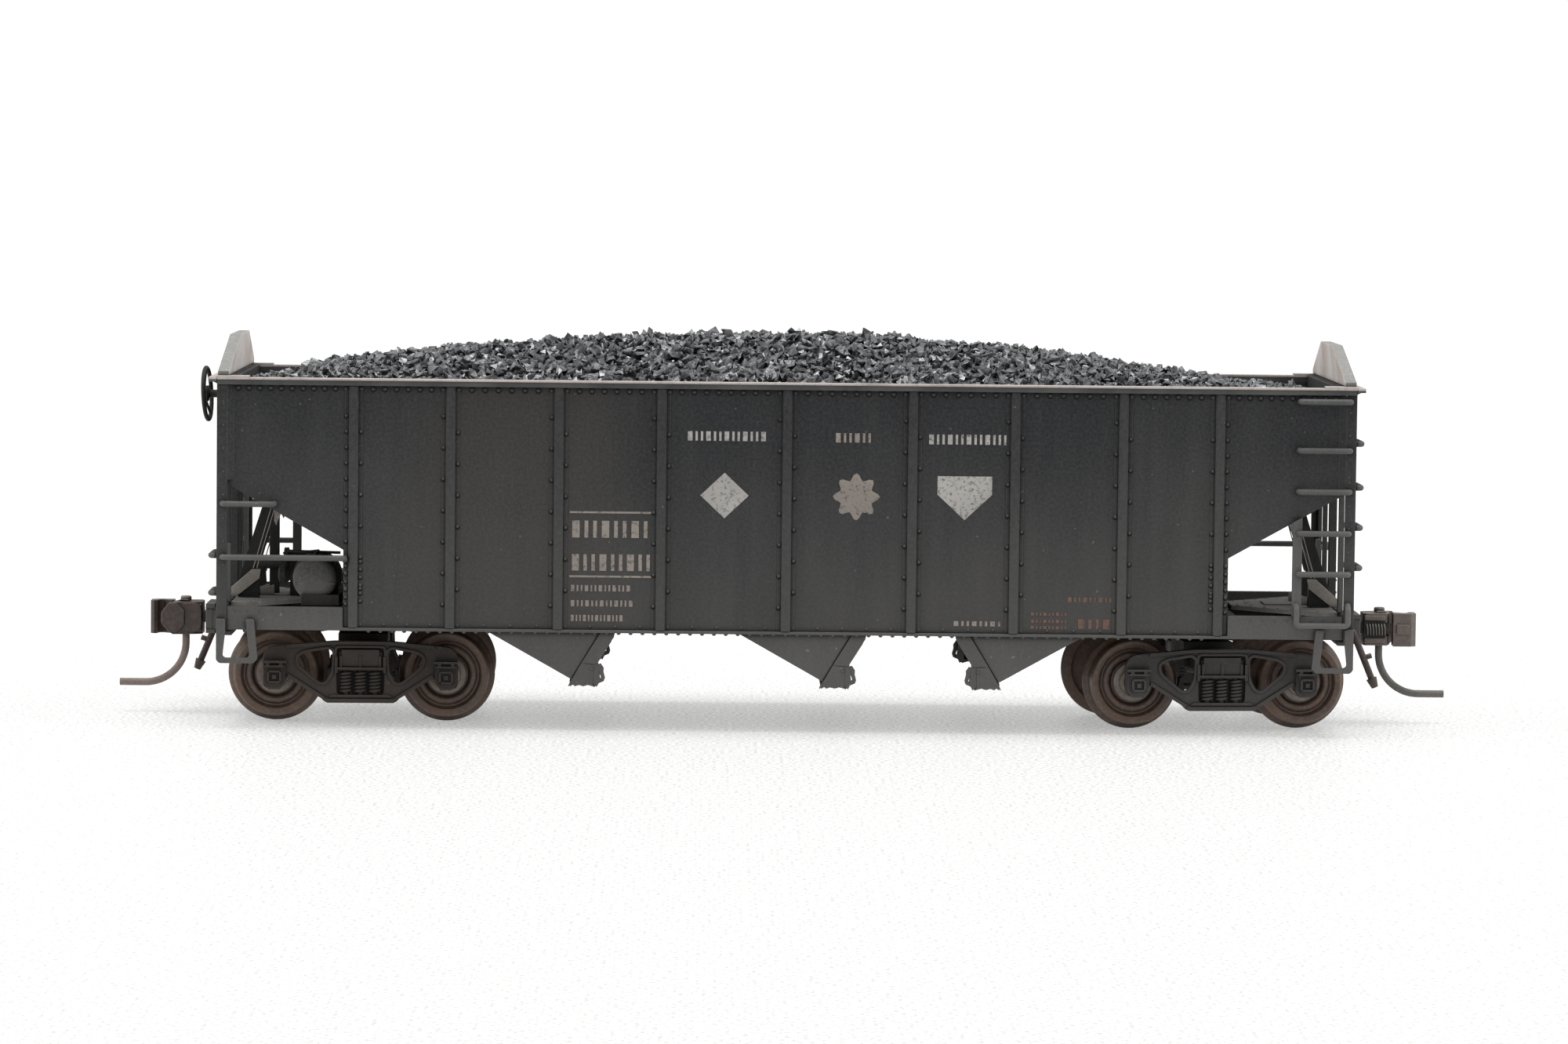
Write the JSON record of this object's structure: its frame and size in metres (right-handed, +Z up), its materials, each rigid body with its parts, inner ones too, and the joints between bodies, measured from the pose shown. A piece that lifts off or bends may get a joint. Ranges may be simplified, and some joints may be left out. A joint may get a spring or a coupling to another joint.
{
  "type": "model railway hopper car",
  "caption": "Open three-bay hopper car model with a lift-out coal load, swivelling trucks, turning wheelsets and sprung knuckle couplers.",
  "frame": {"origin": "under the middle of the car, on the plane the wheel flanges stand on", "axes": "+X along the car towards the A end (no hand brake), +Y across the car towards its left side, +Z up"},
  "size_m": [0.152, 0.0382, 0.0438],
  "materials": {
    "body_paint": "dusty matt black",
    "peak_paint": "matt pale grey, weathered",
    "deck_paint": "matt pale grey, dusty",
    "gear_paint": "matt black",
    "coal": "black coal, glossy facets",
    "truck_paint": "matt grimy brown black",
    "spring_steel": "dull",
    "wheel_rust": "matt rust brown",
    "axle_steel": "dull",
    "coupler_rust": "matt rust brown",
    "pin_steel": "matt rust brown",
    "ballast_steel": "plain steel",
    "screw_steel": "blackened"
  },
  "bodies": {
    "carbody": {"side_sheet_left": "body_paint", "side_sheet_right": "body_paint", "side_posts": "body_paint", "top_rails": "body_paint", "corner_posts": "body_paint", "side_sills": "body_paint", "end_sheets": "body_paint", "end_peaks": "peak_paint", "end_posts": "body_paint", "end_braces": "body_paint", "end_sills": "body_paint", "end_platforms": "deck_paint", "slope_sheet_a": "body_paint", "slope_sheet_b": "body_paint", "cross_ridge_sheets": "body_paint", "bay_side_sheets": "body_paint", "hopper_doors": "body_paint", "outlet_frames": "body_paint", "door_locks": "body_paint", "centre_sill": "body_paint", "body_bolsters": "body_paint", "ladders": "gear_paint", "grab_irons": "gear_paint", "stirrup_steps": "gear_paint", "air_reservoir": "gear_paint", "brake_cylinder": "gear_paint", "control_valve": "gear_paint", "brake_pipes": "gear_paint", "brake_gear_case": "gear_paint", "hand_brake_rod": "gear_paint", "air_hoses": "coupler_rust", "ballast_weights": "ballast_steel", "coupler_boxes": "gear_paint", "box_lids": "gear_paint", "centring_springs": "spring_steel", "screws": "screw_steel"},
    "load": {"coal_load": "coal"},
    "brake_wheel": {"brake_wheel": "gear_paint"},
    "truck_a": {"truck_bolster_a": "truck_paint", "side_frames_a": "truck_paint", "truck_springs_a": "spring_steel"},
    "wheelset_a_outer": {"axle_a_outer": "axle_steel", "wheels_a_outer": "wheel_rust"},
    "wheelset_a_inner": {"axle_a_inner": "axle_steel", "wheels_a_inner": "wheel_rust"},
    "coupler_a": {"coupler_head_a": "coupler_rust", "knuckle_spring_a": "spring_steel"},
    "knuckle_a": {"knuckle_a": "coupler_rust", "trip_pin_a": "pin_steel"},
    "truck_b": {"truck_bolster_b": "truck_paint", "side_frames_b": "truck_paint", "truck_springs_b": "spring_steel"},
    "wheelset_b_outer": {"axle_b_outer": "axle_steel", "wheels_b_outer": "wheel_rust"},
    "wheelset_b_inner": {"axle_b_inner": "axle_steel", "wheels_b_inner": "wheel_rust"},
    "coupler_b": {"coupler_head_b": "coupler_rust", "knuckle_spring_b": "spring_steel"},
    "knuckle_b": {"knuckle_b": "coupler_rust", "trip_pin_b": "pin_steel"}
  },
  "joints": [
    {"name": "load_lift", "type": "slide", "parent": "carbody", "child": "load", "axis": [0, 0, 1], "range_m": [0, 0.012]},
    {"name": "brake_wheel_turn", "type": "hinge", "parent": "carbody", "child": "brake_wheel", "pos_m": [-0.0663, 0.005, 0.0363], "axis": [1, 0, 0], "continuous": true},
    {"name": "truck_swivel_a", "type": "hinge", "parent": "carbody", "child": "truck_a", "pos_m": [0.04805, 0, 0.008], "axis": [0, 0, 1], "range_deg": [-13.8, 2.2]},
    {"name": "wheels_turn_a_outer", "type": "hinge", "parent": "truck_a", "child": "wheelset_a_outer", "pos_m": [0.05763, 0.00097, 0.00545], "axis": [-0.1011, 0.9949, 0], "continuous": true},
    {"name": "wheels_turn_a_inner", "type": "hinge", "parent": "truck_a", "child": "wheelset_a_inner", "pos_m": [0.03847, -0.00097, 0.00545], "axis": [-0.1011, 0.9949, 0], "continuous": true},
    {"name": "coupler_swing_a", "type": "hinge", "parent": "carbody", "child": "coupler_a", "pos_m": [0.0595, 0, 0.011], "axis": [0, 0, 1], "range_deg": [-8, 8], "stiffness_Nm_per_rad": 0.0003},
    {"name": "knuckle_swing_a", "type": "hinge", "parent": "coupler_a", "child": "knuckle_a", "pos_m": [0.06845, 0, 0.011], "axis": [0, 0, -1], "range_deg": [0, 15], "stiffness_Nm_per_rad": 0.0002, "springref_deg": -17.19, "deforming": ["knuckle_spring_a"]},
    {"name": "truck_swivel_b", "type": "hinge", "parent": "carbody", "child": "truck_b", "pos_m": [-0.04805, 0, 0.008], "axis": [0, 0, 1], "range_deg": [-9.6, 6.4]},
    {"name": "wheels_turn_b_outer", "type": "hinge", "parent": "truck_b", "child": "wheelset_b_outer", "pos_m": [-0.05768, -0.00027, 0.00545], "axis": [-0.0279, 0.9996, 0], "continuous": true},
    {"name": "wheels_turn_b_inner", "type": "hinge", "parent": "truck_b", "child": "wheelset_b_inner", "pos_m": [-0.03842, 0.00027, 0.00545], "axis": [-0.0279, 0.9996, 0], "continuous": true},
    {"name": "coupler_swing_b", "type": "hinge", "parent": "carbody", "child": "coupler_b", "pos_m": [-0.0595, 0, 0.011], "axis": [0, 0, 1], "range_deg": [-8, 8], "stiffness_Nm_per_rad": 0.0003},
    {"name": "knuckle_swing_b", "type": "hinge", "parent": "coupler_b", "child": "knuckle_b", "pos_m": [-0.06845, 0, 0.011], "axis": [0, 0, -1], "range_deg": [0, 15], "stiffness_Nm_per_rad": 0.0002, "springref_deg": -17.19, "deforming": ["knuckle_spring_b"]}
  ]
}
